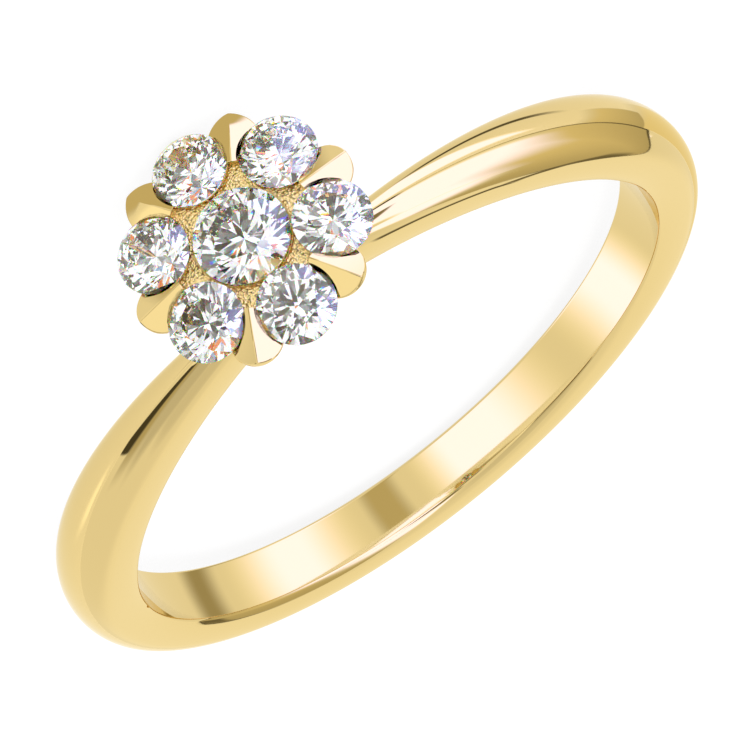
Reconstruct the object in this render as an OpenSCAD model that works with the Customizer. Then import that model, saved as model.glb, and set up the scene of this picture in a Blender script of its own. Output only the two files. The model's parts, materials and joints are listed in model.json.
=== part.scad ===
// Zircon cluster ring: a tapered gold shank, a six-claw setting and seven round brilliants.
// The ring is drawn standing, in millimetres: the finger hole runs along Y about the origin
// and the head is up, along +Z. The last module lays it on its side, as it comes to rest.

/* [Shank] */
// Inside diameter of the finger hole
finger_d = 17; // [15:0.1:21]
// Width of the shank where it meets the head
shank_w_head = 0.55; // [0.5:0.05:1.2]
// Full width of the shank, from its sides to the back
shank_w_back = 2.1; // [1.6:0.05:3]
// Thickness of the shank under the head
shank_t_head = 1.6; // [1.4:0.05:1.8]
// Thickness of the shank at the shoulders
shank_t_shoulder = 1.65; // [1.4:0.05:2.2]
// Thickness of the shank at the back
shank_t_back = 1.75; // [1.2:0.05:2]
// Angle from the head at which the shank has its full width
full_width_at = 75; // [60:5:150]
// Angle from the head at which the shank is thickest
shoulder_at = 60; // [50:5:100]
// Half width of the rounding between the side and the hole, at the head
edge_round_head = 0.15; // [0.05:0.05:0.2]
// Half width of the rounding between the side and the hole, at the back
edge_round_back = 0.5; // [0.3:0.05:0.75]

/* [Stones] */
// Girdle diameter of the centre stone
centre_d = 2.25; // [1.6:0.05:2.4]
// Girdle diameter of an outer stone
outer_d = 1.8; // [1.2:0.05:1.85]
// Number of outer stones, and of claws
petals = 6; // [6:1:6]
// Radius of the circle that the outer stones' centres lie on
cluster_r = 2.07; // [2.05:0.01:2.2]
// Height of the outer stones' girdles above the middle of the finger hole
girdle_h = 13.1; // [12.5:0.1:14]
// How much higher the centre stone's girdle is
centre_raise = 0.05; // [0:0.01:0.2]
// How far the outer stones lean outwards, in degrees
stone_lean = 10; // [0:1:20]
// Table width as a share of the stone's diameter
table_share = 0.57; // [0.5:0.01:0.65]
// Angle of the main crown facets
crown_angle = 34.5; // [30:0.5:37]
// Angle of the main pavilion facets
pavilion_angle = 40.8; // [39:0.2:43]
// Length of a star facet as a share of the way from table to girdle
star_share = 0.52; // [0.4:0.01:0.6]
// Length of a lower girdle facet as a share of the way from girdle to point
lower_share = 0.78; // [0.7:0.01:0.85]
// Girdle thickness as a share of the stone's diameter
girdle_share = 0.03; // [0.02:0.005:0.05]
// Gap between a stone and its seat
seat_gap = 0.04; // [0.02:0.01:0.06]

/* [Setting] */
// Radius of a claw's round outer end, seen from above
claw_end_r = 0.62; // [0.5:0.01:0.7]
// Distance of the middle of that round end from the head's axis
claw_end_x = 2.33; // [2.3:0.01:2.45]
// How far a claw's ridge stands above the outer stones' girdles
ridge_rise = 0.16; // [0.05:0.01:0.25]
// Slope of the two flats on either side of a claw's ridge
roof_angle = 24; // [15:1:35]
// Upright height of a claw's outer end, under its flats
claw_wall = 0.14; // [0.1:0.02:0.4]
// Radius of a claw's wire at the collet
wire_r = 0.28; // [0.2:0.01:0.35]
// How far the floor between the stones lies under their girdles
floor_drop = 0.08; // [0.03:0.01:0.2]
// Radius of the seat plate at its top
plate_top_r = 2.35; // [2.2:0.05:2.5]
// Radius of the seat plate underneath
plate_low_r = 1.3; // [1.1:0.05:1.6]
// Thickness of the seat plate
plate_t = 1.15; // [1.1:0.05:1.4]
// Radius of the collet on the shank
collet_r = 1.2; // [1:0.05:1.4]
// Height of the collet above the middle of the finger hole
collet_top = 10.2; // [10:0.1:10.6]

/* [Hidden] */

gold = [0.89, 0.77, 0.5];
clear = [0.93, 0.95, 0.97];
finger_r = finger_d / 2;
petal_step = 360 / petals;

// Number of sections round the shank, and of steps along each rounding and along the crown
shank_sections = 96;
round_steps = 5;
crown_steps = 9;
// How far the swept skin reaches into the finger hole before the hole is cut
skin_inset = 0.5;
// Angle on the rounding at which it meets the hole's wall, which leaves a crisp edge there
edge_start = 30;
// Share of the shank's thickness at which it is widest
widest_share = 0.5;
// Number of flats that stand for a round of the setting, and for the finger hole
round_fn = 64;
hole_fn = 128;
// Turn of each outer stone about its own axis, as a step from stone to stone
stone_turn = 17;
// Foot of the collet: its radius as a share of the top's, and its height above the hole's wall
foot_share = 0.8;
foot_rise = 0.6;
// Root of a claw: its distance from the axis as a share of the collet's, and its depth in it
root_share = 0.82;
root_sink = 0.2;
// How far a claw's upright end reaches down into its wire, and how much wider it is
end_sink = 0.3;
end_step = 0.02;
// Reach of the roof that cuts a claw's flats: inwards from the claw's tip, outwards and down
roof_in = 1;
roof_out = 3;
roof_down = 6;

// Shank, by the angle a from the head: 0 under the head and 180 at the back

function ease(share) = sin(90 * min(share, 1));
function shank_w(a) = shank_w_head + (shank_w_back - shank_w_head) * ease(a / full_width_at);
function shank_t(a) = a < shoulder_at
    ? shank_t_head + (shank_t_shoulder - shank_t_head) * ease(a / shoulder_at)
    : shank_t_back + (shank_t_shoulder - shank_t_back)
        * (1 + cos(180 * (a - shoulder_at) / (180 - shoulder_at))) / 2;
function edge_round(a) = edge_round_head
    + (edge_round_back - edge_round_head) * (1 - cos(a)) / 2;

// One side of the section at angle a, from inside the hole to the top of the crown: [out, y]
function half_section(a) =
    let (w = shank_w(a) / 2, t = shank_t(a), e = edge_round(a), s = widest_share * t)
    let (reach = s / cos(edge_start))
    concat(
        [[-skin_inset, w - e]],
        [for (i = [0 : round_steps]) let (u = 90 * i / round_steps)
            [s - reach * cos(u), w - e + e * sin(u)]],
        [for (i = [1 : crown_steps]) let (u = 90 * i / crown_steps)
            [s + (t - s) * sin(u), w * cos(u)]]);

// The whole section: one side up to the crown's middle, and the other side back down
function section(a) =
    let (half = half_section(a), n = len(half))
    concat(half, [for (i = [n - 2 : -1 : 0]) [half[i][0], -half[i][1]]]);

module shank_skin() {
    n = len(section(0));
    points = [for (i = [0 : shank_sections - 1])
        let (turn = 360 * i / shank_sections, a = min(turn, 360 - turn))
        for (p = section(a))
            [(finger_r + p[0]) * sin(turn), p[1], (finger_r + p[0]) * cos(turn)]];
    faces = [for (i = [0 : shank_sections - 1], j = [0 : n - 1])
        let (i2 = (i + 1) % shank_sections, j2 = (j + 1) % n)
        each [[i * n + j, i2 * n + j2, i * n + j2], [i * n + j, i2 * n + j, i2 * n + j2]]];
    polyhedron(points, faces, convexity = 6);
}

// Round brilliant: each facet ring is a pyramid, and the stone is what they all share

// Pyramid of 8 facets that slope at an angle, whose flats are a distance from the axis at z = 0.
// A positive angle closes upwards, and the first facet faces the direction turn.
module facet_ring(distance, angle, turn, depth) {
    flat_to_corner = cos(22.5);
    rise = distance * tan(angle);
    spread = (distance + depth / tan(angle)) / flat_to_corner;
    rotate([0, 0, turn + 22.5])
        translate([0, 0, -depth])
            cylinder(h = rise + depth, r1 = spread, r2 = 0, $fn = 8);
}

module brilliant(d) {
    r = d / 2;
    girdle = d * girdle_share;
    crown_h = r * (1 - table_share) * tan(crown_angle);
    table_flat = r * table_share * cos(22.5);
    // Corner that a star facet shares with two crown mains and two upper girdle facets
    star_r = table_flat + star_share * (r - table_flat);
    star_z = (r - star_r * cos(22.5)) * tan(crown_angle);
    star_angle = atan((crown_h - star_z) / (star_r - table_flat));
    // Girdle facets pass through the girdle's edge on both sides of their middle
    edge_flat = r * cos(11.25);
    upper_angle = atan(star_z / (edge_flat - star_r * cos(11.25)));
    // Corner that two lower girdle facets share with two pavilion mains
    lower_r = r * (1 - lower_share);
    lower_z = (r - lower_r * cos(22.5)) * tan(pavilion_angle);
    lower_angle = atan(lower_z / (edge_flat - lower_r * cos(11.25)));
    pavilion_h = r * tan(pavilion_angle);
    depth = pavilion_h + 2 * girdle;
    intersection() {
        translate([0, 0, -depth])
            cylinder(h = depth + girdle / 2 + crown_h, r = r, $fn = round_fn);
        translate([0, 0, girdle / 2]) {
            intersection() {
                facet_ring(r, crown_angle, 0, depth);
                facet_ring(table_flat + crown_h / tan(star_angle), star_angle, 22.5, depth);
                facet_ring(edge_flat, upper_angle, 11.25, depth);
                facet_ring(edge_flat, upper_angle, 33.75, depth);
            }
        }
        translate([0, 0, -girdle / 2])
            mirror([0, 0, 1]) {
                intersection() {
                    facet_ring(r, pavilion_angle, 0, depth);
                    facet_ring(edge_flat, lower_angle, 11.25, depth);
                    facet_ring(edge_flat, lower_angle, 33.75, depth);
                }
            }
    }
}

// Places of the stones

module at_centre() {
    translate([0, 0, girdle_h + centre_raise]) children();
}

module at_petal(i) {
    rotate([0, 0, petal_step * (i - 0.5)])
        translate([cluster_r, 0, girdle_h])
            rotate([0, stone_lean, 0]) children();
}

module centre_stone() {
    color(clear) at_centre() brilliant(centre_d);
}

module outer_stone(i) {
    color(clear) at_petal(i) rotate([0, 0, stone_turn * i]) brilliant(outer_d);
}

// Room for a stone in the metal: its girdle and all above it, and the cone of its pavilion
module seat(d) {
    r = d / 2 + seat_gap;
    girdle = d * girdle_share;
    cone_h = r * tan(pavilion_angle);
    translate([0, 0, -girdle / 2 - seat_gap])
        cylinder(h = d, r = r, $fn = round_fn);
    translate([0, 0, -girdle / 2 - seat_gap - cone_h])
        cylinder(h = cone_h, r1 = 0, r2 = r, $fn = round_fn);
}

// Setting

// A claw's wire runs from the collet out to the round end: [distance from the axis, height]
claw_tip_x = cluster_r * cos(petal_step / 2);
ridge_z = girdle_h + ridge_rise + (cluster_r - claw_tip_x) * tan(stone_lean);
wire_low = [root_share * collet_r - wire_r, collet_top - root_sink];
wire_high = [claw_end_x, ridge_z - claw_wall - end_sink];
wire_run = wire_high - wire_low;

// Roof of a claw: a ridge that falls outwards with the stones, and a flat on either side
module claw_roof() {
    half = 2 * claw_end_r;
    eaves = half * tan(roof_angle);
    translate([claw_tip_x, 0, ridge_z])
        rotate([0, stone_lean, 0])
            translate([-roof_in, 0, 0])
                rotate([90, 0, 90])
                    linear_extrude(roof_in + roof_out)
                        polygon([[0, 0], [-half, -eaves], [-half, -roof_down],
                            [half, -roof_down], [half, -eaves]]);
}

module claw() {
    intersection() {
        claw_roof();
        union() {
            translate([claw_end_x, 0, wire_high[1]])
                cylinder(h = ridge_z - wire_high[1], r = claw_end_r, $fn = round_fn);
            translate([wire_low[0], 0, wire_low[1]])
                rotate([0, atan2(wire_run[0], wire_run[1]), 0])
                    cylinder(h = norm(wire_run), r1 = wire_r, r2 = claw_end_r - end_step,
                        $fn = round_fn);
        }
    }
}

module setting() {
    difference() {
        union() {
            for (i = [0 : petals - 1]) rotate([0, 0, petal_step * i]) claw();
            translate([0, 0, girdle_h - floor_drop - plate_t])
                cylinder(h = plate_t, r1 = plate_low_r, r2 = plate_top_r, $fn = round_fn);
        }
        at_centre() seat(centre_d);
        for (i = [1 : petals]) at_petal(i) seat(outer_d);
    }
    translate([0, 0, finger_r + foot_rise])
        cylinder(h = collet_top - finger_r - foot_rise, r1 = foot_share * collet_r,
            r2 = collet_r, $fn = round_fn);
}

module shank_and_setting() {
    color(gold)
        difference() {
            union() {
                shank_skin();
                setting();
            }
            rotate([90, 0, 0])
                cylinder(h = 2 * shank_w_back, r = finger_r, center = true, $fn = hole_fn);
        }
}

// Lying on its side: the lower girdle edge of the stone at -Y and the back of the shank touch

lean_girdle = outer_d * girdle_share / 2;
stone_y = cluster_r + outer_d / 2 * cos(stone_lean) - lean_girdle * sin(stone_lean);
stone_z = girdle_h - outer_d / 2 * sin(stone_lean) - lean_girdle * cos(stone_lean);
back_widest = finger_r + widest_share * shank_t_back;
back_crown = (1 - widest_share) * shank_t_back;

// Half width of the shank's back that a surface at an angle feels
function back_feel(angle) = norm([shank_w_back / 2, back_crown * tan(angle)]);
function rest_angle(angle, steps) = steps == 0 ? angle
    : rest_angle(atan((stone_y - back_feel(angle)) / (stone_z + back_widest)), steps - 1);
rest_tilt = rest_angle(5, 3);
rest_lift = stone_y * cos(rest_tilt) - stone_z * sin(rest_tilt);
table_z = girdle_h + centre_raise + centre_d * (girdle_share
    + (1 - table_share) * tan(crown_angle)) / 2;
rest_shift = (table_z - finger_r - shank_t_back) * cos(rest_tilt) / 2;

module lay_down() {
    translate([0, rest_shift, rest_lift])
        rotate([90 - rest_tilt, 0, 0]) children();
}

lay_down() shank_and_setting();
lay_down() centre_stone();
lay_down() outer_stone(1);  // outer_stone_1
lay_down() outer_stone(2);  // outer_stone_2
lay_down() outer_stone(3);  // outer_stone_3
lay_down() outer_stone(4);  // outer_stone_4
lay_down() outer_stone(5);  // outer_stone_5
lay_down() outer_stone(6);  // outer_stone_6
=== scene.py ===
import json
import math
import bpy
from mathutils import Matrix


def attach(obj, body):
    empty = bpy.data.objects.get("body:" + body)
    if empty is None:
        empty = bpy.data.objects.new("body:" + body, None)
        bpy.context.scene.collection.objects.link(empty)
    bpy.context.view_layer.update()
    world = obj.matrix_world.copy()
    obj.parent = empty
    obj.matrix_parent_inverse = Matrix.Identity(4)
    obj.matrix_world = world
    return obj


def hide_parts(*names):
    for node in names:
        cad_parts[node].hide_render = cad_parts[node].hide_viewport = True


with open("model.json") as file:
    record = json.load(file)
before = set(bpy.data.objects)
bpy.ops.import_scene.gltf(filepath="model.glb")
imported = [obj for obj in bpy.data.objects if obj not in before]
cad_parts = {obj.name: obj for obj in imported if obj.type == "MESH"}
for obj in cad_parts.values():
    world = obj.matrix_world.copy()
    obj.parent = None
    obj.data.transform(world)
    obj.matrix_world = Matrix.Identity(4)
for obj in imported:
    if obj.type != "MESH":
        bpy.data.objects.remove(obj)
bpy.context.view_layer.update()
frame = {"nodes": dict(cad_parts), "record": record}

from types import SimpleNamespace

import bmesh
import bpy
from bpy.props import FloatProperty, FloatVectorProperty, PointerProperty
from mathutils import Matrix, Vector, noise

bl_info = {
    "name": "Zircon cluster ring",
    "version": (1, 0, 0),
    "blender": (4, 5, 0),
    "location": "View3D > Sidebar > Ring",
    "description": "Makes a tapered gold ring with seven round zircons, and its studio",
    "category": "Object",
}

# The gold is modelled as the ring stands, in millimetres: the finger hole runs along Y about
# the origin and the head is up, along +Z. LYING lays it on the floor, in metres.
MM = 0.001
HOLE = next(mount for mount in frame["record"]["mounts"] if mount["name"] == "finger_hole")
HOLE_R = HOLE["dims"]["r_mm"]
BODY = "root"
GOLD_NODE = "shank_and_setting"
STONE_NODES = ["centre_stone"] + [f"outer_stone_{number}" for number in range(1, 7)]
PETALS = 6
FULL_TURN = 2 * math.pi
# The sides of a cone. Then how near, in millimetres, points have to be for a cut to join them,
# and for them to count as one
ROUND = 96
CLOSE = 1e-4
SAME = 1e-6


def lying_matrix():
    """Takes a point of the standing ring, in millimetres, to its place on the floor."""
    across = Vector((1, 0, 0))
    along = Vector(HOLE["axis"]).normalized()
    turn = Matrix((across, along, across.cross(along))).transposed().to_4x4()
    return Matrix.Translation(HOLE["pos_m"]) @ turn @ Matrix.Scale(MM, 4)


LYING = lying_matrix()


def direction(azimuth, elevation):
    """The way to a place in the studio: azimuth 0 is before the head, and 90 degrees is +X."""
    return Vector((math.cos(elevation) * math.sin(azimuth),
                   -math.cos(elevation) * math.cos(azimuth), math.sin(elevation)))


# Driving sizes and colours

def length(name, description, millimetres):
    return FloatProperty(
        name=name, description=description, default=millimetres * MM, unit="LENGTH", precision=5
    )


def angle(name, description, degrees):
    return FloatProperty(
        name=name, description=description, default=math.radians(degrees), unit="ROTATION"
    )


def number(name, description, value):
    return FloatProperty(name=name, description=description, default=value)


def hex_to_linear(code):
    """An sRGB hex colour, such as DFC083, as linear red, green and blue."""
    parts = [int(code[i:i + 2], 16) / 255 for i in (0, 2, 4)]
    return [c / 12.92 if c <= 0.04045 else ((c + 0.055) / 1.055) ** 2.4 for c in parts]


def colour(name, description, code):
    return FloatVectorProperty(
        name=name, description=description, default=hex_to_linear(code), size=3,
        subtype="COLOR", min=0, max=1,
    )


class RingLengths(bpy.types.PropertyGroup):
    """Lengths of the gold"""

    width_head: length("Width at the head", "Width of the shank where it meets the head", 0.55)
    width_back: length("Width at the back", "Width of the shank from its sides to the back", 2.1)
    thick_head: length("Thickness at the head", "Thickness of the shank under the head", 1.6)
    thick_shoulder: length("Thickness at the shoulders", "Thickness beside the head", 1.65)
    thick_back: length("Thickness at the back", "Thickness of the shank at the back", 1.75)
    edge_head: length("Rounding at the head", "Half width of the side's rounding there", 0.15)
    edge_back: length("Rounding at the back", "Half width of the side's rounding there", 0.5)
    edge_soft: length("Softened edge", "Bevel along the edges of the finger hole", 0.05)
    centre_r: length("Centre stone", "Girdle radius of the centre stone", 1.125)
    outer_r: length("Outer stones", "Girdle radius of an outer stone", 0.9)
    cluster_r: length("Cluster", "Distance of the outer stones from the head's axis", 2.07)
    girdle_z: length("Girdles", "Height of the outer girdles above the hole's axis", 13.1)
    centre_raise: length("Centre raise", "How much higher the centre girdle is", 0.05)
    girdle_half: length("Girdle", "Half the height of a stone's girdle", 0.03)
    seat_gap: length("Seat gap", "Gap between a stone and the metal round it", 0.02)
    claw_end_r: length("Claw end", "Radius of a claw's round outer end", 0.62)
    claw_end_x: length("Claw end's place", "Distance of that end from the head's axis", 2.33)
    claw_wall: length("Claw wall", "Height over which a claw's end is upright", 0.44)
    ridge_rise: length("Ridge rise", "Height of a claw's ridge above the girdles", 0.16)
    wire_r: length("Wire", "Radius of a claw's wire at the collet", 0.28)
    claw_soft: length("Claw softening", "Bevel along a claw's ridge and rims", 0.02)
    plate_top_r: length("Plate top", "Radius of the seat plate at its top", 2.35)
    plate_low_r: length("Plate underside", "Radius of the seat plate underneath", 1.3)
    plate_t: length("Plate thickness", "Thickness of the seat plate", 1.15)
    rim_drop: length("Rim drop", "How far the rims lie under the outer girdles", 0.02)
    rim_w: length("Rim width", "Width of the polished rim round each grained floor", 0.04)
    floor_drop: length("Floor drop", "Depth of the grained floors under the rims", 0.06)
    grain: length("Grain", "Size of the grain on the floors between the stones", 0.075)
    collet_r: length("Collet", "Radius of the collet at its top", 1.2)
    collet_foot_r: length("Collet foot", "Radius of the collet at its foot", 0.96)
    collet_low: length("Collet foot's height", "Height of the foot above the hole's axis", 9.1)
    collet_top: length("Collet top", "Height of the collet's top above the hole's axis", 10.2)


class RingAngles(bpy.types.PropertyGroup):
    """Angles of the gold"""

    full_width_at: angle("Full width", "Angle from the head where the shank is full width", 75)
    shoulder_at: angle("Shoulder", "Angle from the head where the shoulder ends", 60)
    lean: angle("Lean", "How far the outer stones lean outwards", 10)
    roof: angle("Roof", "Slope of the two flats of a claw", 24)
    pavilion: angle("Pavilion", "Angle of the stones' lower facets", 40.8)


class RingFinish(bpy.types.PropertyGroup):
    """Colours and finishes of the ring"""

    gold: colour("Gold", "Colour of polished 14 carat yellow gold", "DDC485")
    gold_edge: colour("Gold's edge", "Tint of what the gold mirrors at a grazing angle", "FFFAE8")
    gold_roughness: number("Polish", "Roughness of the polished gold", 0.04)
    stone_ior: number("Stone IOR", "How strongly the stones bend green light", 2.17)
    fire: number("Fire", "Step of IOR from red to green, and from green to blue", 0.0035)


class StudioSetup(bpy.types.PropertyGroup):
    """The camera and the lights"""

    azimuth: angle("Azimuth", "The camera's place, from before the head towards +X", -1.944)
    elevation: angle("Elevation", "The camera's height above the floor", 25.474)
    roll: angle("Roll", "How far the camera is turned about the line of sight", 141.257)
    distance: length("Distance", "From the camera to the point that it looks at", 71.43)
    aim: FloatVectorProperty(
        name="Aim", description="The point that the camera looks at", unit="LENGTH",
        default=(0.066 * MM, 1.450 * MM, 1.479 * MM), precision=5,
    )
    lens: number("Lens", "Focal length in mm with a 36 mm sensor", 129.13)
    tent: number("Tent", "Brightness of the pale tent round the ring", 1.05)
    tent_r: length("Tent radius", "Distance of the softboxes and cards from the ring", 180)
    softbox: number("Softbox", "Brightness of the softboxes", 3.4)
    lamp: colour("Lamp", "Colour of the cool lamps in the softboxes", "BCBEFF")
    # The dark cards glow in this brown, which warms their painted shade in the gold's reflections
    card: colour("Card", "Colour of the dark cards", "FFF5D3")
    layer: length("Layers", "Distance between one card and the next", 2)
    patch: length("Patches", "Size of the cloths that the stones look into", 60)
    patch_contrast: number("Patch contrast", "How much darker most of those cloths are", 1.9)
    patch_glow: number("Patch glow", "Brightness of the palest of them", 1.95)
    patch_tint: colour("Patch tint", "Colour of all but two of those cloths", "E9EDFF")
    warm_spark: colour("Warm spark", "Colour of the one that gives orange sparks", "FF9458")
    cool_spark: colour("Cool spark", "Colour of the one that gives blue sparks", "94BCF4")
    spark_glow: number("Spark glow", "Brightness of these two", 0.9)
    floor_r: length("Floor radius", "Radius of the pale sheet under the ring", 600)
    floor_white: colour("Floor white", "Colour of the sheet without its light", "7A7A7A")
    floor_glow: number("Floor glow", "Brightness of the light that comes up through it", 0.88)


def settings(group, unit=1):
    """The settings of a group by their names, measured in a unit."""
    names = set(group.bl_rna.properties.keys()) - {"rna_type", "name"}
    return {name: getattr(group, name) / unit for name in names}


def sizes(scene):
    """The ring's lengths in millimetres and its angles in radians."""
    s = SimpleNamespace(**settings(scene.ring_lengths, MM), **settings(scene.ring_angles))
    s.tip_x = s.cluster_r * math.cos(math.pi / PETALS)
    s.ridge_z = s.girdle_z + s.ridge_rise + (s.cluster_r - s.tip_x) * math.tan(s.lean)
    return s


# Materials

def node(tree, kind, values=None, links=None):
    """Adds a shader node, sets its properties and inputs, and links its inputs."""
    made = tree.nodes.new(kind)
    for key, value in (values or {}).items():
        if isinstance(key, str) and hasattr(made, key):
            setattr(made, key, value)
        else:
            made.inputs[key].default_value = value
    for key, socket in (links or {}).items():
        tree.links.new(socket, made.inputs[key])
    return made


def empty_material(name):
    made = bpy.data.materials.new(name)
    made.use_nodes = True
    made.node_tree.nodes.clear()
    return made


def rgba(rgb):
    return (*rgb, 1.0)


# 14 carat yellow gold, polished on cloth wheels: a clean warm mirror. Faint wheel marks only
# show where the edges of its highlights waver.
def polished_gold(finish):
    haze_size, mark_size, mark_depth = 1.2 * MM, 0.5 * MM, 0.004 * MM
    clearest, haziest = finish.gold_roughness * 0.6, finish.gold_roughness * 1.5
    made = empty_material("polished_gold")
    tree = made.node_tree
    where = node(tree, "ShaderNodeTexCoord")
    haze = node(tree, "ShaderNodeTexNoise", {"Scale": 1 / haze_size, "Detail": 3.0},
                {"Vector": where.outputs["Object"]})
    rough = node(tree, "ShaderNodeMapRange", {"To Min": clearest, "To Max": haziest},
                 {"Value": haze.outputs["Fac"]})
    marks = node(tree, "ShaderNodeTexNoise", {"Scale": 1 / mark_size, "Detail": 2.0},
                 {"Vector": where.outputs["Object"]})
    bump = node(tree, "ShaderNodeBump", {"Strength": 0.05, "Distance": mark_depth},
                {"Height": marks.outputs["Fac"]})
    metal = node(tree, "ShaderNodeBsdfPrincipled",
                 {"Base Color": rgba(finish.gold), "Specular Tint": rgba(finish.gold_edge),
                  "Metallic": 1.0},
                 {"Roughness": rough.outputs["Result"], "Normal": bump.outputs["Normal"]})
    node(tree, "ShaderNodeOutputMaterial", None, {"Surface": metal.outputs["BSDF"]})
    return made


# The same gold, struck with a fine graver between the stones: tiny facets round pits. Its colour
# is lightened on the facets as painted highlight and darkened in the pits as painted shade.
def grained_gold(finish):
    grit_size, grit_depth = 0.05 * MM, 0.02 * MM
    pit_shade_starts, pit_shade_full = 0.5, 0.85
    painted_facet_light = [min(1.35 * channel, 1) for channel in finish.gold]
    painted_pit_shade = [0.4 * channel for channel in finish.gold]
    made = empty_material("grained_gold")
    tree = made.node_tree
    where = node(tree, "ShaderNodeTexCoord")
    grit = node(tree, "ShaderNodeTexVoronoi", {"Scale": 1 / grit_size},
                {"Vector": where.outputs["Object"]})
    bump = node(tree, "ShaderNodeBump", {"Strength": 0.9, "Distance": grit_depth},
                {"Height": grit.outputs["Distance"]})
    depth = node(tree, "ShaderNodeMapRange", {"From Min": pit_shade_starts, "From Max": pit_shade_full},
                 {"Value": grit.outputs["Distance"]})
    # Painted shade: the deeper into a pit, the darker the gold's colour, with painted highlight
    # on the facets
    tint = node(tree, "ShaderNodeMix", {
        "data_type": "RGBA", 6: rgba(painted_facet_light), 7: rgba(painted_pit_shade),
    }, {0: depth.outputs["Result"]})
    metal = node(tree, "ShaderNodeBsdfPrincipled", {"Metallic": 1.0, "Roughness": 0.2},
                 {"Base Color": tint.outputs[2], "Normal": bump.outputs["Normal"]})
    node(tree, "ShaderNodeOutputMaterial", None, {"Surface": metal.outputs["BSDF"]})
    return made


# Colourless zircon, cut and polished: glass-clear with a strong bend, whose facets send back
# white, grey and black. It splits white light, which gives small sparks of orange and blue: red,
# green and blue each bend by their own IOR for a third of the rays, so each is three times as
# strong. What is inside a stone already isn't split again.
def clear_zircon(finish):
    made = empty_material("clear_zircon")
    tree = made.node_tree
    parts = []
    for step, tint in ((-1, (3, 0, 0)), (0, (0, 2.97, 0)), (1, (0, 0, 2.6))):
        parts.append(node(tree, "ShaderNodeBsdfGlass", {
            "Color": rgba(tint), "Roughness": 0.0, "IOR": finish.stone_ior + step * finish.fire,
        }))
    warm = node(tree, "ShaderNodeMixShader", {0: 0.5},
                {1: parts[0].outputs["BSDF"], 2: parts[1].outputs["BSDF"]})
    split = node(tree, "ShaderNodeMixShader", {0: 1 / 3},
                 {1: warm.outputs["Shader"], 2: parts[2].outputs["BSDF"]})
    inside = node(tree, "ShaderNodeBsdfGlass",
                  {"Color": rgba((1, 1, 1)), "Roughness": 0.0, "IOR": finish.stone_ior})
    side = node(tree, "ShaderNodeNewGeometry")
    whole = node(tree, "ShaderNodeMixShader", None, {
        0: side.outputs["Backfacing"], 1: split.outputs["Shader"], 2: inside.outputs["BSDF"],
    })
    node(tree, "ShaderNodeOutputMaterial", None, {"Surface": whole.outputs["Shader"]})
    return made


# Matt white acrylic sheet, lit from below as on a light table: pale, with only a faint shadow
# under the ring, and with a shine too soft to mirror it.
def backlit_acrylic(studio):
    cloud_size = 30 * MM
    made = empty_material("backlit_acrylic")
    tree = made.node_tree
    where = node(tree, "ShaderNodeTexCoord")
    cloud = node(tree, "ShaderNodeTexNoise", {"Scale": 1 / cloud_size},
                 {"Vector": where.outputs["Object"]})
    rough = node(tree, "ShaderNodeMapRange", {"To Min": 0.6, "To Max": 0.7},
                 {"Value": cloud.outputs["Fac"]})
    sheet = node(tree, "ShaderNodeBsdfPrincipled", {
        "Base Color": rgba(studio.floor_white), "Specular IOR Level": 0.2,
        "Emission Color": rgba((1, 1, 1)), "Emission Strength": studio.floor_glow,
    }, {"Roughness": rough.outputs["Result"]})
    node(tree, "ShaderNodeOutputMaterial", None, {"Surface": sheet.outputs["BSDF"]})
    return made


# Glowing or dark cloth of the studio. No lamp lights it: it glows by its own emission, which is
# painted light where it is pale and painted shade where it is dark. Its light fades over a share
# of its size at its west, east, near and far edges, so that its reflections in the gold are soft
# where they should be. The softboxes have cool lamps, which turn the brightest places of the gold
# almost white, and a tint goes before the light does where it fades.
def studio_cloth(name, tint, glow, fades):
    hardest_fade = 0.002
    made = empty_material(name)
    tree = made.node_tree
    where = node(tree, "ShaderNodeTexCoord")
    axes = node(tree, "ShaderNodeSeparateXYZ", None, {0: where.outputs["UV"]})
    shown = None
    for side, fade in enumerate(fades):
        outer = side % 2
        share = node(tree, "ShaderNodeMapRange", {
            "interpolation_type": "SMOOTHSTEP", "From Min": outer,
            "From Max": abs(outer - max(fade, hardest_fade)),
        }, {"Value": axes.outputs["XY"[side // 2]]}).outputs["Result"]
        if shown is not None:
            share = node(tree, "ShaderNodeMath", {"operation": "MULTIPLY"},
                         {0: shown, 1: share}).outputs["Value"]
        shown = share
    strength = node(tree, "ShaderNodeMapRange", {"To Min": glow[0], "To Max": glow[1]},
                    {"Value": axes.outputs["X"]})
    colour_there = node(tree, "ShaderNodeMix", {
        "data_type": "RGBA", 6: rgba([min(tint)] * 3), 7: rgba(tint),
    }, {0: shown})
    light = node(tree, "ShaderNodeEmission", None, {
        "Color": colour_there.outputs[2], "Strength": strength.outputs["Result"],
    })
    clear = node(tree, "ShaderNodeBsdfTransparent")
    cloth = node(tree, "ShaderNodeMixShader", None,
                 {0: shown, 1: clear.outputs["BSDF"], 2: light.outputs["Emission"]})
    node(tree, "ShaderNodeOutputMaterial", None, {"Surface": cloth.outputs["Shader"]})
    return made


# The patchwork's two round coloured cloths, which glow into the left stones as their larger
# painted sparks. Each has its azimuth, its elevation and its radius in degrees, and the name of
# its colour.
SPARKS = ((-42, 6, 11, "warm_spark"), (-41, -12, 8, "cool_spark"))
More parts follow.
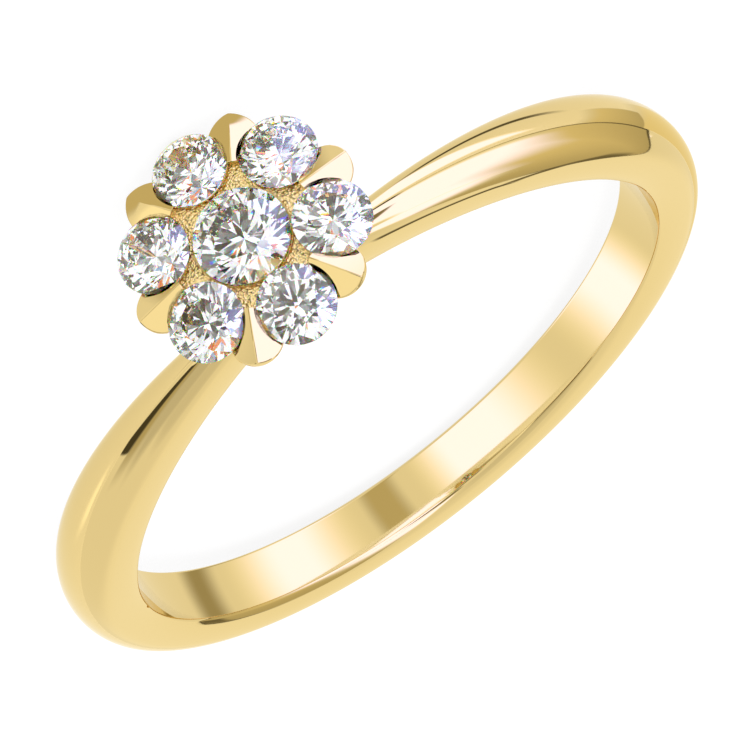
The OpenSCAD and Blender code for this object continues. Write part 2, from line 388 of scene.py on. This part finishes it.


# Patchwork of pale, grey and black cloths round the stones, which glow by their own emission as
# painted light. Only light that has passed through a stone comes from it, so that each facet
# shows another grey.
def patchwork(studio):
    made = empty_material("patchwork")
    tree = made.node_tree
    where = node(tree, "ShaderNodeTexCoord")
    cells = node(tree, "ShaderNodeTexVoronoi", {"Scale": 1 / studio.patch},
                 {"Vector": where.outputs["Object"]})
    tone = node(tree, "ShaderNodeSeparateXYZ", None, {0: cells.outputs["Color"]})
    contrast = node(tree, "ShaderNodeMath", {"operation": "POWER", 1: studio.patch_contrast},
                    {0: tone.outputs["X"]})
    glow = node(tree, "ShaderNodeMath", {"operation": "MULTIPLY", 1: studio.patch_glow},
                {0: contrast.outputs["Value"]}).outputs["Value"]
    plain = node(tree, "ShaderNodeRGB")
    tint = plain.outputs["Color"]
    tint.default_value = rgba(studio.patch_tint)
    way = node(tree, "ShaderNodeVectorMath", {"operation": "NORMALIZE"},
               {0: where.outputs["Object"]}).outputs["Vector"]
    for azimuth, elevation, reach, spark in SPARKS:
        middle = direction(math.radians(azimuth), math.radians(elevation))
        away = node(tree, "ShaderNodeVectorMath", {"operation": "DISTANCE", 1: middle}, {0: way})
        here = node(tree, "ShaderNodeMath", {"operation": "LESS_THAN", 1: math.radians(reach)},
                    {0: away.outputs["Value"]}).outputs["Value"]
        glow = node(tree, "ShaderNodeMix", {3: studio.spark_glow}, {0: here, 2: glow}).outputs[0]
        tint = node(tree, "ShaderNodeMix", {
            "data_type": "RGBA", 7: rgba(getattr(studio, spark)),
        }, {0: here, 6: tint}).outputs[2]
    light = node(tree, "ShaderNodeEmission", None, {"Color": tint, "Strength": glow})
    node(tree, "ShaderNodeOutputMaterial", None, {"Surface": light.outputs["Emission"]})
    made.cycles.emission_sampling = "NONE"
    return made


def shared(make, finish):
    """A material that several operators use, made once."""
    return bpy.data.materials.get(make.__name__) or make(finish)


# Meshes

def link_object(name, bm):
    mesh = bpy.data.meshes.new(name)
    bm.to_mesh(mesh)
    bm.free()
    made = bpy.data.objects.new(name, mesh)
    bpy.context.scene.collection.objects.link(made)
    return made


def vertices(geom):
    return [item for item in geom if isinstance(item, bmesh.types.BMVert)]


def above(height):
    """The move up the head's axis to a height."""
    return Matrix.Translation((0, 0, height))


def add_cone(bm, low_r, high_r, depth, place):
    return bmesh.ops.create_cone(bm, cap_ends=True, segments=ROUND, radius1=low_r,
                                 radius2=high_r, depth=depth, matrix=place)


def subtract(bm, cutter_bm, merge=CLOSE):
    """Cuts one closed bmesh from another, frees both, and gives the bmesh that is left."""
    body = link_object("body", bm)
    cutter = link_object("cutter", cutter_bm)
    cut = body.modifiers.new("cut", "BOOLEAN")
    cut.operation = "DIFFERENCE"
    cut.solver = "EXACT"
    cut.use_self = True
    cut.object = cutter
    bpy.context.view_layer.update()
    left = bmesh.new()
    left.from_object(body, bpy.context.evaluated_depsgraph_get())
    for done in (body, cutter):
        mesh = done.data
        bpy.data.objects.remove(done)
        bpy.data.meshes.remove(mesh)
    bmesh.ops.remove_doubles(left, verts=left.verts, dist=merge)
    bmesh.ops.dissolve_degenerate(left, edges=left.edges, dist=merge)
    return left


def soften(bm, width, sharper_than, segments=2):
    """Bevels every edge that turns by more than an angle."""
    sharp = [e for e in bm.edges if e.is_manifold and e.calc_face_angle() > sharper_than]
    bmesh.ops.bevel(bm, geom=sharp, offset=width, offset_type="OFFSET", affect="EDGES",
                    segments=segments, profile=0.5, material=-1)


def turned_copies(bm):
    """Repeats what is in a bmesh round the head's axis, once for each petal."""
    first = bm.verts[:] + bm.edges[:] + bm.faces[:]
    for step in range(1, PETALS):
        copied = bmesh.ops.duplicate(bm, geom=first)
        bmesh.ops.rotate(bm, verts=vertices(copied["geom"]), cent=(0, 0, 0),
                         matrix=Matrix.Rotation(step * FULL_TURN / PETALS, 3, "Z"))


def gold_piece(bm, name, material, crease, flat_from=math.inf):
    """Lays a bmesh in millimetres on the floor as a finished piece of the gold."""
    for face in bm.faces:
        face.smooth = face.calc_area() < flat_from
    bmesh.ops.transform(bm, matrix=LYING, verts=bm.verts)
    bmesh.ops.recalc_face_normals(bm, faces=bm.faces)
    for edge in bm.edges:
        edge.smooth = edge.is_manifold and edge.calc_face_angle() < math.radians(crease)
    piece = link_object(name, bm)
    piece.data.materials.append(material)
    level = piece.modifiers.new("level_flats", "WEIGHTED_NORMAL")
    level.keep_sharp = True
    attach(piece, BODY)
    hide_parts(GOLD_NODE)


def petal_place(s, petal):
    """The middle of an outer stone's girdle, leaning outwards."""
    around = Matrix.Rotation((petal - 0.5) * FULL_TURN / PETALS, 4, "Z")
    out = Matrix.Translation((s.cluster_r, 0, s.girdle_z))
    return around @ out @ Matrix.Rotation(s.lean, 4, "Y")


def centre_place(s):
    return above(s.girdle_z + s.centre_raise)


def add_seat(bm, s, radius, place):
    """The room that a stone takes: its girdle and all above it, and its pavilion's cone."""
    low = -s.girdle_half - s.seat_gap
    depth = radius * math.tan(s.pavilion)
    cone = add_cone(bm, 0, radius, depth, place @ above(low - depth / 2))
    lid = max({f for v in cone["verts"] for f in v.link_faces}, key=lambda f: len(f.verts))
    raised = bmesh.ops.extrude_face_region(bm, geom=[lid])
    bmesh.ops.delete(bm, geom=[lid], context="FACES_ONLY")
    bmesh.ops.translate(bm, vec=place.to_3x3() @ Vector((0, 0, 2 * radius)),
                        verts=vertices(raised["geom"]))


def seats(s, petals, centre=True, grow=0.0):
    """A bmesh of the rooms for the stones, each wider all round by grow."""
    bm = bmesh.new()
    if centre:
        add_seat(bm, s, s.centre_r + s.seat_gap + grow, centre_place(s))
    for petal in petals:
        add_seat(bm, s, s.outer_r + s.seat_gap + grow, petal_place(s, petal))
    bmesh.ops.remove_doubles(bm, verts=bm.verts, dist=SAME)
    bmesh.ops.recalc_face_normals(bm, faces=bm.faces)
    return bm


ALL_PETALS = range(1, PETALS + 1)
BESIDE_A_CLAW = (1, PETALS)


# Pieces

class RING_OT_shank(bpy.types.Operator):
    """Make the tapered shank, half round outside, with its true round finger hole"""

    bl_idname = "ring.make_shank"
    bl_label = "Shank"

    stations = 288
    edge_steps = 12
    crown_steps = 26
    widest_share = 0.5
    edge_start = math.radians(30)

    def width(self, s, turn):
        share = min(turn / s.full_width_at, 1)
        return s.width_head + (s.width_back - s.width_head) * math.sin(share * math.pi / 2)

    def thickness(self, s, turn):
        if turn < s.shoulder_at:
            rise = math.sin(turn / s.shoulder_at * math.pi / 2)
            return s.thick_head + (s.thick_shoulder - s.thick_head) * rise
        fall = (1 + math.cos((turn - s.shoulder_at) / (math.pi - s.shoulder_at) * math.pi)) / 2
        return s.thick_back + (s.thick_shoulder - s.thick_back) * fall

    def edge(self, s, turn):
        return s.edge_head + (s.edge_back - s.edge_head) * (1 - math.cos(turn)) / 2

    def back_section(self, bm, s):
        """The section at the back, as a closed chain in the plane of Y and Z."""
        half_w, thick, edge = s.width_back / 2, s.thick_back, s.edge_back
        widest = self.widest_share * thick
        reach = widest / math.cos(self.edge_start)
        half = []
        for i in range(self.edge_steps + 1):
            u = self.edge_start + (math.pi / 2 - self.edge_start) * i / self.edge_steps
            half.append((widest - reach * math.cos(u), half_w - edge + edge * math.sin(u)))
        for i in range(1, self.crown_steps + 1):
            u = math.pi / 2 * i / self.crown_steps
            half.append((widest + (thick - widest) * math.sin(u), half_w * math.cos(u)))
        outline = half + [(out, -y) for out, y in half[-2::-1]]
        verts = [bm.verts.new((0, y, HOLE_R + out)) for out, y in outline]
        edges = [bm.edges.new(pair) for pair in zip(verts, verts[1:] + verts[:1])]
        return verts + edges

    def tapered(self, s, place):
        """Where a point of the even band lies on the tapered shank."""
        around = math.atan2(place.x, place.z)
        turn = abs(around)
        out, y = math.hypot(place.x, place.z) - HOLE_R, place.y
        half_w, edge = self.width(s, turn) / 2, self.edge(s, turn)
        if out < self.widest_share * s.thick_back - SAME:
            flat = s.width_back / 2 - s.edge_back
            inner, beyond = min(abs(y), flat) / flat, max(abs(y) - flat, 0) / s.edge_back
            y = math.copysign(inner * (half_w - edge) + beyond * edge, y)
        else:
            y *= half_w / (s.width_back / 2)
        radius = HOLE_R + out * self.thickness(s, turn) / s.thick_back
        return Vector((radius * math.sin(around), y, radius * math.cos(around)))

    def execute(self, context):
        s = sizes(context.scene)
        bm = bmesh.new()
        bmesh.ops.spin(bm, geom=self.back_section(bm, s), cent=(0, 0, 0), axis=(0, 1, 0),
                       angle=FULL_TURN, steps=self.stations, use_merge=True)
        for vert in bm.verts:
            vert.co = self.tapered(s, vert.co)
        bmesh.ops.recalc_face_normals(bm, faces=bm.faces)
        soften(bm, s.edge_soft, sharper_than=math.radians(20), segments=3)
        gold_piece(bm, "shank", shared(polished_gold, context.scene.ring_finish), crease=60)
        return {"FINISHED"}


class RING_OT_collet(bpy.types.Operator):
    """Make the collet, the short cone that joins the claws to the shank"""

    bl_idname = "ring.make_collet"
    bl_label = "Collet"

    rim_soft = 0.08

    def execute(self, context):
        s = sizes(context.scene)
        depth = s.collet_top - s.collet_low
        bm = bmesh.new()
        add_cone(bm, s.collet_foot_r, s.collet_r, depth, above(s.collet_low + depth / 2))
        soften(bm, self.rim_soft, sharper_than=math.radians(40), segments=4)
        gold_piece(bm, "collet", shared(polished_gold, context.scene.ring_finish), crease=30)
        return {"FINISHED"}


class RING_OT_claws(bpy.types.Operator):
    """Make the six claws, whose tips have two flats that meet in a ridge"""

    bl_idname = "ring.make_claws"
    bl_label = "Claws"

    steps = 16
    wire_sides = 64
    # A wire's foot is within this share of the collet's radius, and so far under its top
    foot_share = 0.82
    foot_depth = 0.2
    # Its radius grows with this power of the way up
    swell = 1.2

    def wire(self, bm, s):
        """A wire from the collet that widens to the claw's round end."""
        place = Vector((self.foot_share * s.collet_r - s.wire_r, 0,
                        s.collet_top - self.foot_depth))
        foot = place.copy()
        high = Vector((s.claw_end_x, 0, s.ridge_z - s.claw_wall))
        disc = bmesh.ops.create_circle(bm, cap_ends=True, radius=s.wire_r,
                                       segments=self.wire_sides,
                                       matrix=Matrix.Translation(foot))
        face = disc["verts"][0].link_faces[0]
        radius = s.wire_r
        for step in range(1, self.steps + 2):
            share = min(step / self.steps, 1)
            goal = foot.lerp(high, share)
            if step > self.steps:
                goal.z += 2 * s.claw_wall
            wanted = s.wire_r + (s.claw_end_r - s.wire_r) * share ** self.swell
            grown = bmesh.ops.extrude_face_region(bm, geom=[face])
            if step > 1:
                bmesh.ops.delete(bm, geom=[face], context="FACES_ONLY")
            face = next(f for f in grown["geom"] if isinstance(f, bmesh.types.BMFace))
            bmesh.ops.translate(bm, vec=goal - place, verts=face.verts)
            bmesh.ops.scale(bm, vec=(wanted / radius, wanted / radius, 1), verts=face.verts,
                            space=Matrix.Translation(-goal))
            radius, place = wanted, goal

    def roof(self, bm, s):
        """Cuts the two flats, which meet in a ridge that falls outwards."""
        for side in (1, -1):
            turn = Matrix.Rotation(s.lean, 3, "Y") @ Matrix.Rotation(-side * s.roof, 3, "X")
            cut = bmesh.ops.bisect_plane(
                bm, geom=bm.verts[:] + bm.edges[:] + bm.faces[:], dist=SAME, clear_outer=True,
                plane_co=(s.tip_x, 0, s.ridge_z), plane_no=turn @ Vector((0, 0, 1)))
            rim = [e for e in cut["geom_cut"] if isinstance(e, bmesh.types.BMEdge)]
            bmesh.ops.edgeloop_fill(bm, edges=rim)

    def execute(self, context):
        s = sizes(context.scene)
        bm = bmesh.new()
        self.wire(bm, s)
        self.roof(bm, s)
        bmesh.ops.recalc_face_normals(bm, faces=bm.faces)
        bm = subtract(bm, seats(s, BESIDE_A_CLAW, centre=False), merge=2e-3)
        soften(bm, s.claw_soft, sharper_than=math.radians(25))
        turned_copies(bm)
        gold_piece(bm, "claws", shared(polished_gold, context.scene.ring_finish), crease=30,
                   flat_from=0.1)
        return {"FINISHED"}


class RING_OT_seat_plate(bpy.types.Operator):
    """Make the plate that holds the stones, with polished rims and grained floors"""

    bl_idname = "ring.make_seat_plate"
    bl_label = "Seat plate"

    # A grained floor's half width, the cells along it, how far it is moved inwards, the share
    # of a rim's width that its edge keeps clear, and the height of a grain as a share of its size
    patch_half = 0.62
    patch_cells = 62
    patch_shift = 0.05
    clear_share = 0.6
    grain_share = 0.45

    def plate(self, s):
        """A cone-sided plate with a seat for each stone, and a pocket for each grained floor."""
        top = s.girdle_z - s.rim_drop
        bm = bmesh.new()
        add_cone(bm, s.plate_low_r, s.plate_top_r, s.plate_t, above(top - s.plate_t / 2))
        pocket = bmesh.new()
        add_cone(pocket, s.tip_x, s.tip_x, 4 * s.floor_drop, above(top))
        pocket = subtract(pocket, seats(s, ALL_PETALS, grow=s.rim_w))
        bm = subtract(bm, seats(s, ALL_PETALS), merge=5e-4)
        return subtract(bm, pocket, merge=5e-4)

    def floors(self, s):
        """Six small grained floors, one in each gap between the centre and two petals."""
        middle = (s.centre_r + s.tip_x) / 2 - self.patch_shift
        level = s.girdle_z - s.rim_drop - s.floor_drop
        bm = bmesh.new()
        bmesh.ops.create_grid(bm, x_segments=self.patch_cells, y_segments=self.patch_cells,
                              size=self.patch_half,
                              matrix=Matrix.Translation((middle, 0, level)))
        lower = bmesh.ops.extrude_face_region(bm, geom=bm.faces[:])
        bmesh.ops.translate(bm, vec=(0, 0, -s.floor_drop), verts=vertices(lower["geom"]))
        bmesh.ops.recalc_face_normals(bm, faces=bm.faces)
        bm = subtract(bm, seats(s, BESIDE_A_CLAW, grow=self.clear_share * s.rim_w))
        turned_copies(bm)
        for vert in bm.verts:
            if abs(vert.co.z - level) < CLOSE:
                near = noise.voronoi(vert.co / s.grain)[0]
                rise = math.sqrt(max(0, 1 - near[0])) - 0.5
                vert.co.z += s.grain * self.grain_share * rise
        return bm

    def execute(self, context):
        s = sizes(context.scene)
        finish = context.scene.ring_finish
        gold_piece(self.plate(s), "seat_plate", shared(polished_gold, finish), crease=30)
        gold_piece(self.floors(s), "grained_floors", shared(grained_gold, finish), crease=60)
        return {"FINISHED"}


class RING_OT_stones(bpy.types.Operator):
    """Give the seven cut stones their clear zircon"""

    bl_idname = "ring.finish_stones"
    bl_label = "Stones"

    def execute(self, context):
        zircon = shared(clear_zircon, context.scene.ring_finish)
        for name in STONE_NODES:
            stone = frame["nodes"][name]
            stone.data.materials.clear()
            stone.data.materials.append(zircon)
        return {"FINISHED"}


GLOWS = "glows"


def box(west, east, low, high):
    """Four corners of a card, from its low or near west corner anticlockwise."""
    return (west, low), (east, low), (east, high), (west, high)


class RING_OT_studio(bpy.types.Operator):
    """Set up the pale floor, the soft lights and the camera"""

    bl_idname = "ring.make_studio"
    bl_label = "Studio"

    # Softboxes, which glow, and cards and cloths, which glow as pale or dark as their number
    # says:
    # no lamp lights them, so their glow is painted light, and painted shade where it is dark,
    # which only reflections show. Round the ring, each has four corners in degrees of azimuth and
    # elevation, then its brightness, or those of its west and east ends, then the shares over
    # which its west, east, low and high edges fade. A later one is nearer to the ring.
    round_cards = {
        "side_softbox": (box(-132, -10, 2, 80), GLOWS, (0, 0.05, 0.13, 0.06)),
        "top_softbox": (box(-173, -110, 53, 83), GLOWS, (0.1, 0.3, 0.35, 0.1)),
        "rear_cloth": (box(135, 217, 0, 54), 1.17, (0.3, 0.3, 0.15, 0.3)),
        "high_cloth": (box(76, 190, 56, 84), 0.86, (0.2, 0.2, 0.3, 0.1)),
        "front_cloth": (box(13, 47, 10, 40), 1.3, (0.3, 0.3, 0.3, 0.3)),
        "right_cloth": (box(34, 96, 30, 84), 0.74, (0.1, 0.3, 0.25, 0.1)),
        "softbox_rim": (box(-129, -105, 0, 44), 0.15, (0, 0.3, 0, 0.3)),
        "shade": (box(-127.5, -72, 1.6, 66), (0.6, 1.1), (0, 0.4, 0, 0.24)),
        "horizon": (box(-128, -20, 0, 2), (0.15, 0.8), (0, 0.3, 0, 0.4)),
        "far_card": (box(-38, -24, 0, 10), 0.05, (0.3, 0.3, 0, 0.4)),
        "corner_card": (box(-174, -150, 26, 34), 0.2, (0.3, 0.5, 0.3, 0.3)),
        "side_shade": (((32, 26), (86, 8), (86, 38), (32, 50)), 0.6, (0.1, 0.4, 0.2, 0.5)),
        "side_flag": (((36, 18), (70, -6), (70, 21), (36, 36)), 0.08, (0, 0.04, 0.1, 0.3)),
        "front_card": (box(-10, 9, 16, 36), 0.05, (0.25, 0.25, 0.25, 0.25)),
        "high_front_card": (box(-38, -3, 34, 84), 0.3, (0.1, 0.2, 0.1, 0.2)),
        "under_line": (box(-138, -112, -60, -2), 0.45, (0.45, 0.45, 0, 0)),
        "under_left_light": (box(-112, -40, -60, -2), GLOWS, (0.45, 0.42, 0, 0)),
        "under_wedge": (box(-41, -21, -60, -2), 0.66, (0.35, 0.35, 0, 0)),
        "under_light": (box(-18, 60, -60, -2), GLOWS, (0.25, 0.5, 0, 0)),
        "under_right_light": (box(62, 132, -60, -2), GLOWS, (0.45, 0.4, 0, 0)),
    }
    # The west edge of these two is rounded off by so many degrees of azimuth and elevation
    rounded_cards = ("softbox_rim", "shade")
    rounding = (42.5, 27)
    # What has a name that ends so glows white, and all else that isn't a softbox glows in the
    # brown of the card colour, which warms the painted shade that the gold mirrors
    white = ("cloth", "light", "glow")
    card_cells = 24
    # The stones' patchwork hangs behind all the cards by so many millimetres
    tent_room = 5
    # Inside the hole's wall by so many millimetres, the gold doesn't mirror the floor
    floor_edge = 0.2
    floor_sides = 128
    # Over the floor by so many millimetres, and then by a step more each, these cards have their
    # corners' X and Y in millimetres. They are painted light and painted shade on the floor,
    # which only the gold's reflections show.
    lowest_card = 0.04
    card_step = 0.02
    floor_cards = {
        "edge_card": (((-11, 13), (-11.3, -0.5), (-150, 71), (-27, 174)), 1.02,
                      (0.05, 0.15, 0, 0.1)),
        "low_light": (((-4.2, -8.3), (-3.6, -9), (-4.9, -32.5), (-28, -5.4)), GLOWS,
                      (0.12, 0.02, 0.02, 0.45)),
        "head_light": (box(-5.2, -2.5, -17, -12.5), GLOWS, (0.1, 0.1, 0.1, 0.1)),
        "low_shade": (((-13.5, 1.8), (-12.4, -3.2), (-177, 14), (-140, 103)), (0.6, 1.05),
                      (0.02, 0.35, 0.003, 0.02)),
        # Painted contact shadow: a dark strip where the shoulder's shadow would lie on the floor,
        # as the gold mirrors it
        "low_line": (((-12.2, -3.9), (-3.9, -8.9), (-3.6, -8.3), (-11.9, -3.3)), 0.12,
                     (0.4, 0.2, 0.3, 0.3)),
        "right_light": (box(14, 34, -11, 0), 1.5, (0.35, 0.35, 0.35, 0.35)),
        "front_shade": (box(-2, 14, -40, -16), 0.5, (0.1, 0.2, 0.1, 0.2)),
        "head_shade": (box(-3.3, 3.4, -12.9, -11.2), 0.75, (0.1, 0.1, 0.1, 0.1)),
        "head_glow": (box(3, 6.5, -15.5, -12.7), 1.4, (0.15, 0.3, 0.15, 0.2)),
    }
    # Upright over the back of the ring, at this Y, these have their corners' X and Z in
    # millimetres. They are dark sheets that only the gold mirrors: painted shade lines in its
    # reflections.
    upright_at = 8
    upright_cards = {
        "rear_line": (((-5.9, 8.3), (-0.9, 13.4), (-0.9, 19), (-5.9, 12.2)), 0.15,
                      (0.05, 0.1, 0.1, 0.6)),
        "rear_line_end": (((-8.4, 9.3), (-5.7, 8.6), (-5.7, 11.2), (-8.4, 11.3)), 0.2,
                          (0.2, 0.05, 0.15, 0.4)),
    }

    def staged(self, name, bm, material, unseen_by):
        """Makes an object of the studio, which some kinds of ray pass as if it weren't there."""
        made = link_object(name, bm)
        made.data.materials.append(material)
        for ray in unseen_by:
            setattr(made, f"visible_{ray}", False)

    def card(self, studio, name, corners, glow, fades, place):
        """A sheet between four corners, which place turns into points."""
        near_west, near_east, far_east, far_west = (Vector(corner) for corner in corners)
        bm = bmesh.new()
        bm.loops.layers.uv.new("UVMap")
        bmesh.ops.create_grid(bm, x_segments=self.card_cells, y_segments=self.card_cells,
                              size=1, calc_uvs=True)
        for vert in bm.verts:
            u, v = (vert.co.x + 1) / 2, (vert.co.y + 1) / 2
            near = near_west.lerp(near_east, u)
            vert.co = place(near.lerp(far_west.lerp(far_east, u), v), u)
        if glow is GLOWS:
            tint, glow = studio.lamp, studio.softbox
        else:
            tint = (1, 1, 1) if name.split("_")[-1] in self.white else studio.card
        if not isinstance(glow, tuple):
            glow = (glow, glow)
        self.staged(name, bm, studio_cloth(name, tint, glow, fades),
                    unseen_by=("camera", "diffuse", "transmission", "shadow"))

    def cards(self, studio):
        for layer, (name, (corners, glow, fades)) in enumerate(self.round_cards.items()):
            radius = studio.tent_r - layer * studio.layer
            wide, tall = self.rounding if name in self.rounded_cards else (0, 1)

            def place(at, u, radius=radius, wide=wide, tall=tall):
                rise = min(max(at.y, 0) / tall, 1)
                azimuth = at.x - wide * (1 - u) * (1 - math.sqrt(1 - rise ** 2))
                return direction(math.radians(azimuth), math.radians(at.y)) * radius

            self.card(studio, name, corners, glow, fades, place)
        for layer, (name, (corners, glow, fades)) in enumerate(self.floor_cards.items()):
            height = self.lowest_card + self.card_step * layer

            def place(at, u, height=height):
                return Vector((at.x, at.y, height)) * MM

            self.card(studio, name, corners, glow, fades, place)
        for name, (corners, glow, fades) in self.upright_cards.items():

            def place(at, u):
                return Vector((at.x, self.upright_at, at.y)) * MM

            self.card(studio, name, corners, glow, fades, place)

    def stone_tent(self, studio):
        bm = bmesh.new()
        bmesh.ops.create_icosphere(bm, subdivisions=4, radius=studio.tent_r + self.tent_room * MM)
        self.staged("patchwork_tent", bm, patchwork(studio),
                    unseen_by=("camera", "diffuse", "glossy", "shadow"))

    def floor(self, studio):
        """The sheet, and the round of it in the hole, which the gold doesn't mirror."""
        inside = Matrix.Translation((0, HOLE["pos_m"][1], 0))
        inner_r = (HOLE_R - self.floor_edge) * MM
        outer = bmesh.new()
        bmesh.ops.create_circle(outer, radius=studio.floor_r, segments=self.floor_sides)
        bmesh.ops.create_circle(outer, radius=inner_r, segments=self.floor_sides, matrix=inside)
        bmesh.ops.bridge_loops(outer, edges=outer.edges[:])
        inner = bmesh.new()
        bmesh.ops.create_circle(inner, cap_ends=True, radius=inner_r,
                                segments=self.floor_sides, matrix=inside)
        acrylic = backlit_acrylic(studio)
        for name, bm, unseen_by in (
            ("floor", outer, ("transmission",)),
            ("floor_in_the_hole", inner, ("transmission", "glossy")),
        ):
            bmesh.ops.recalc_face_normals(bm, faces=bm.faces)
            self.staged(name, bm, acrylic, unseen_by)

    def camera(self, scene, studio):
        back = direction(studio.azimuth, studio.elevation)
        lens = bpy.data.cameras.new("camera")
        lens.lens = studio.lens
        lens.sensor_width = 36
        lens.clip_start = MM
        lens.clip_end = 5
        made = bpy.data.objects.new("camera", lens)
        level = back.to_track_quat("Z", "Y").to_matrix().to_4x4()
        made.matrix_world = (Matrix.Translation(Vector(studio.aim) + back * studio.distance)
                             @ level @ Matrix.Rotation(studio.roll, 4, "Z"))
        scene.collection.objects.link(made)
        scene.camera = made

    def tent(self, scene, studio):
        world = bpy.data.worlds.new("pale_tent")
        world.use_nodes = True
        world.node_tree.nodes.clear()
        cloth = node(world.node_tree, "ShaderNodeBackground",
                     {"Color": rgba((1, 1, 1)), "Strength": studio.tent})
        node(world.node_tree, "ShaderNodeOutputWorld", None,
             {"Surface": cloth.outputs["Background"]})
        scene.world = world

    def light_paths(self, scene):
        """Enough bounces for light to find its way out of a cut stone."""
        scene.cycles.max_bounces = 24
        scene.cycles.transmission_bounces = 20
        scene.cycles.glossy_bounces = 12
        scene.cycles.caustics_reflective = False
        scene.cycles.caustics_refractive = False
        scene.view_settings.view_transform = "Standard"

    def execute(self, context):
        scene = context.scene
        studio = scene.ring_studio
        self.camera(scene, studio)
        self.floor(studio)
        self.cards(studio)
        self.stone_tent(studio)
        self.tent(scene, studio)
        self.light_paths(scene)
        return {"FINISHED"}


class RING_PT_ring(bpy.types.Panel):
    """Sizes, finishes and buttons of the ring"""

    bl_label = "Ring"
    bl_idname = "RING_PT_ring"
    bl_space_type = "VIEW_3D"
    bl_region_type = "UI"
    bl_category = "Ring"

    def draw(self, context):
        for operator in OPERATORS:
            self.layout.operator(operator.bl_idname)
        for title, group in GROUPS.items():
            rows = self.layout.box()
            for name in group.__annotations__:
                rows.prop(getattr(context.scene, title), name)


OPERATORS = (RING_OT_shank, RING_OT_collet, RING_OT_claws, RING_OT_seat_plate, RING_OT_stones,
             RING_OT_studio)
GROUPS = {"ring_lengths": RingLengths, "ring_angles": RingAngles, "ring_finish": RingFinish,
          "ring_studio": StudioSetup}
CLASSES = (*GROUPS.values(), *OPERATORS, RING_PT_ring)


def register():
    for cls in CLASSES:
        bpy.utils.register_class(cls)
    for name, group in GROUPS.items():
        setattr(bpy.types.Scene, name, PointerProperty(type=group))


def unregister():
    for name in GROUPS:
        delattr(bpy.types.Scene, name)
    for cls in reversed(CLASSES):
        bpy.utils.unregister_class(cls)


def main():
    register()
    bpy.ops.ring.make_shank()
    bpy.ops.ring.make_collet()
    bpy.ops.ring.make_claws()
    bpy.ops.ring.make_seat_plate()
    bpy.ops.ring.finish_stones()
    bpy.ops.ring.make_studio()


if __name__ == "__main__":
    main()
